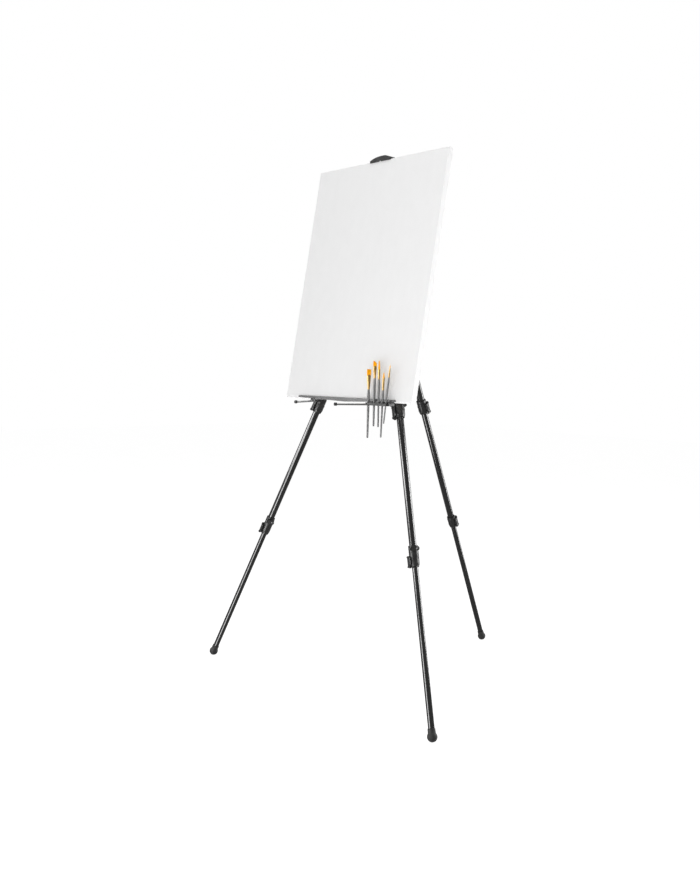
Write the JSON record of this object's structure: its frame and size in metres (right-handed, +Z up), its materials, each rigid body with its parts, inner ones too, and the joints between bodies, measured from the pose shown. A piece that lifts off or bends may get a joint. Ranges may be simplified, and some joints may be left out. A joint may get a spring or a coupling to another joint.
{
  "type": "tripod display easel",
  "caption": "Folding metal tripod display easel with telescopic legs, a sprung top clamp, a ledge with a brush holder, a stretched canvas and loose brushes.",
  "frame": {"origin": "on the floor, under the middle of the bounding box", "axes": "+Z up, the canvas and the two front feet face -Y, the rear leg goes to +Y, +X to the right as seen from the front"},
  "size_m": [1.0748, 0.9348, 1.7465],
  "materials": {
    "black_aluminium": "glossy black anodised tube",
    "black_plastic": "satin moulded nylon",
    "lever_plastic": "satin moulded nylon lever",
    "foot_rubber": "soft dark rubber",
    "cap_rubber": "soft black rubber",
    "bolt_steel": "dark plated steel",
    "bright_steel": "bright drawn steel rod",
    "ledge_metal": "satin black powder coat",
    "canvas": "primed woven canvas",
    "pine": "planed unfinished pine",
    "brush_wood": "dark lacquered brush handle"
  },
  "bodies": {
    "head": {"hub_body": "black_plastic", "hub_cap": "black_plastic", "left_leg_pivot_pin": "bolt_steel", "right_leg_pivot_pin": "bolt_steel", "rear_leg_pivot_pin": "bolt_steel", "mast_tube": "black_aluminium", "mast_clamp": "black_plastic"},
    "mast_lever": {"mast_lever": "lever_plastic"},
    "mast": {"mast_rod": "black_aluminium", "top_holder": "black_plastic"},
    "jaw": {"top_jaw": "black_plastic"},
    "left_leg_upper": {"left_leg_head": "black_plastic", "left_leg_upper_tube": "black_aluminium", "left_leg_upper_clamp": "black_plastic", "left_support_bracket": "black_plastic", "left_support_socket": "black_plastic"},
    "left_leg_upper_lever": {"left_leg_upper_lever": "lever_plastic"},
    "left_leg_middle": {"left_leg_middle_tube": "black_aluminium", "left_leg_knee_clamp": "black_plastic", "left_leg_knee_bolt": "bolt_steel"},
    "left_leg_knee_lever": {"left_leg_knee_lever": "lever_plastic"},
    "left_leg_lower": {"left_leg_lower_tube": "black_aluminium", "left_leg_foot": "foot_rubber"},
    "left_support_rod": {"left_support_rod": "bright_steel", "left_support_cap": "cap_rubber"},
    "right_leg_upper": {"right_leg_head": "black_plastic", "right_leg_upper_tube": "black_aluminium", "right_leg_upper_clamp": "black_plastic", "right_support_bracket": "black_plastic", "right_support_socket": "black_plastic"},
    "right_leg_upper_lever": {"right_leg_upper_lever": "lever_plastic"},
    "right_leg_middle": {"right_leg_middle_tube": "black_aluminium", "right_leg_knee_clamp": "black_plastic", "right_leg_knee_bolt": "bolt_steel"},
    "right_leg_knee_lever": {"right_leg_knee_lever": "lever_plastic"},
    "right_leg_lower": {"right_leg_lower_tube": "black_aluminium", "right_leg_foot": "foot_rubber"},
    "right_support_rod": {"right_support_rod": "bright_steel", "right_support_cap": "cap_rubber"},
    "rear_leg_upper": {"rear_leg_head": "black_plastic", "rear_leg_upper_tube": "black_aluminium", "rear_leg_upper_clamp": "black_plastic"},
    "rear_leg_upper_lever": {"rear_leg_upper_lever": "lever_plastic"},
    "rear_leg_middle": {"rear_leg_middle_tube": "black_aluminium", "rear_leg_knee_clamp": "black_plastic"},
    "rear_leg_knee_lever": {"rear_leg_knee_lever": "lever_plastic"},
    "rear_leg_lower": {"rear_leg_lower_tube": "black_aluminium", "rear_leg_foot": "foot_rubber"},
    "ledge": {"ledge_rail": "ledge_metal", "brush_holder": "ledge_metal"},
    "canvas": {"canvas_cloth": "canvas", "stretcher_bottom": "pine", "stretcher_top": "pine", "stretcher_left": "pine", "stretcher_right": "pine"},
    "brush_1": {"brush_1": "brush_wood"},
    "brush_2": {"brush_2": "brush_wood"},
    "brush_3": {"brush_3": "brush_wood"},
    "brush_4": {"brush_4": "brush_wood"},
    "brush_5": {"brush_5": "brush_wood"}
  },
  "joints": [
    {"name": "mast_lever_hinge", "type": "hinge", "parent": "head", "child": "mast_lever", "pos_m": [-0.00713, -0.13126, 1.4], "axis": [0, 0, 1], "range_deg": [0, 80]},
    {"name": "mast_slide", "type": "slide", "parent": "head", "child": "mast", "axis": [0, 0, 1], "range_m": [0, 0.06]},
    {"name": "jaw_slide", "type": "slide", "parent": "mast", "child": "jaw", "axis": [0, 0, 1], "range_m": [0, 0.012], "stiffness_N_per_m": 40, "springref_m": -0.01},
    {"name": "left_leg_fold", "type": "hinge", "parent": "head", "child": "left_leg_upper", "pos_m": [-0.03031, -0.16835, 1.342], "axis": [0.5, -0.866, 0], "range_deg": [0, 23]},
    {"name": "left_leg_middle_slide", "type": "slide", "parent": "left_leg_upper", "child": "left_leg_middle", "axis": [0.3408, 0.1967, 0.9193], "range_m": [0, 0.35]},
    {"name": "left_leg_lower_slide", "type": "slide", "parent": "left_leg_middle", "child": "left_leg_lower", "axis": [0.3408, 0.1967, 0.9193], "range_m": [0, 0.4]},
    {"name": "left_leg_upper_lever_hinge", "type": "hinge", "parent": "left_leg_upper", "child": "left_leg_upper_lever", "pos_m": [-0.21122, -0.25756, 0.91963], "axis": [-0.3408, -0.1967, -0.9193], "range_deg": [0, 80]},
    {"name": "left_leg_knee_lever_hinge", "type": "hinge", "parent": "left_leg_middle", "child": "left_leg_knee_lever", "pos_m": [-0.36612, -0.34842, 0.49558], "axis": [-0.3408, -0.1967, -0.9193], "range_deg": [0, 80]},
    {"name": "left_support_pull", "type": "slide", "parent": "left_leg_upper", "child": "left_support_rod", "axis": [0.4147, -0.91, 0], "range_m": [0, 0.18]},
    {"name": "right_leg_fold", "type": "hinge", "parent": "head", "child": "right_leg_upper", "pos_m": [0.03031, -0.16835, 1.342], "axis": [0.5, 0.866, 0], "range_deg": [0, 23]},
    {"name": "right_leg_middle_slide", "type": "slide", "parent": "right_leg_upper", "child": "right_leg_middle", "axis": [-0.3408, 0.1967, 0.9193], "range_m": [0, 0.35]},
    {"name": "right_leg_lower_slide", "type": "slide", "parent": "right_leg_middle", "child": "right_leg_lower", "axis": [-0.3408, 0.1967, 0.9193], "range_m": [0, 0.4]},
    {"name": "right_leg_upper_lever_hinge", "type": "hinge", "parent": "right_leg_upper", "child": "right_leg_upper_lever", "pos_m": [0.16816, -0.25916, 0.90401], "axis": [0.3408, -0.1967, -0.9193], "range_deg": [0, 80]},
    {"name": "right_leg_knee_lever_hinge", "type": "hinge", "parent": "right_leg_middle", "child": "right_leg_knee_lever", "pos_m": [0.32709, -0.34987, 0.48142], "axis": [0.3408, -0.1967, -0.9193], "range_deg": [0, 80]},
    {"name": "right_support_pull", "type": "slide", "parent": "right_leg_upper", "child": "right_support_rod", "axis": [-0.4147, -0.91, 0], "range_m": [0, 0.18]},
    {"name": "rear_leg_fold", "type": "hinge", "parent": "head", "child": "rear_leg_upper", "pos_m": [0, -0.11585, 1.342], "axis": [-1, 0, 0], "range_deg": [0, 23]},
    {"name": "rear_leg_middle_slide", "type": "slide", "parent": "rear_leg_upper", "child": "rear_leg_middle", "axis": [0, -0.3935, 0.9193], "range_m": [0, 0.35]},
    {"name": "rear_leg_lower_slide", "type": "slide", "parent": "rear_leg_middle", "child": "rear_leg_lower", "axis": [0, -0.3935, 0.9193], "range_m": [0, 0.4]},
    {"name": "rear_leg_upper_lever_hinge", "type": "hinge", "parent": "rear_leg_upper", "child": "rear_leg_upper_lever", "pos_m": [0.02291, 0.06626, 0.91142], "axis": [0, 0.3935, -0.9193], "range_deg": [0, 80]},
    {"name": "rear_leg_knee_lever_hinge", "type": "hinge", "parent": "rear_leg_middle", "child": "rear_leg_knee_lever", "pos_m": [0.02077, 0.24763, 0.48814], "axis": [0, 0.3935, -0.9193], "range_deg": [0, 80]},
    {"name": "ledge_lift", "type": "slide", "parent": "head", "child": "ledge", "axis": [0, 0, 1], "range_m": [0, 0.15]},
    {"name": "canvas_slide", "type": "slide", "parent": "head", "child": "canvas", "axis": [1, 0, 0], "range_m": [0, 0.3]},
    {"name": "brush_1_lift", "type": "slide", "parent": "ledge", "child": "brush_1", "axis": [0.0052, 0, 1], "range_m": [0, 0.12]},
    {"name": "brush_2_lift", "type": "slide", "parent": "ledge", "child": "brush_2", "axis": [0.0052, 0, 1], "range_m": [0, 0.12]},
    {"name": "brush_3_lift", "type": "slide", "parent": "ledge", "child": "brush_3", "axis": [-0.0035, 0, 1], "range_m": [0, 0.12]},
    {"name": "brush_4_lift", "type": "slide", "parent": "ledge", "child": "brush_4", "axis": [0.0384, 0, 0.9993], "range_m": [0, 0.12]},
    {"name": "brush_5_lift", "type": "slide", "parent": "ledge", "child": "brush_5", "axis": [0.1253, 0, 0.9921], "range_m": [0, 0.12]}
  ]
}
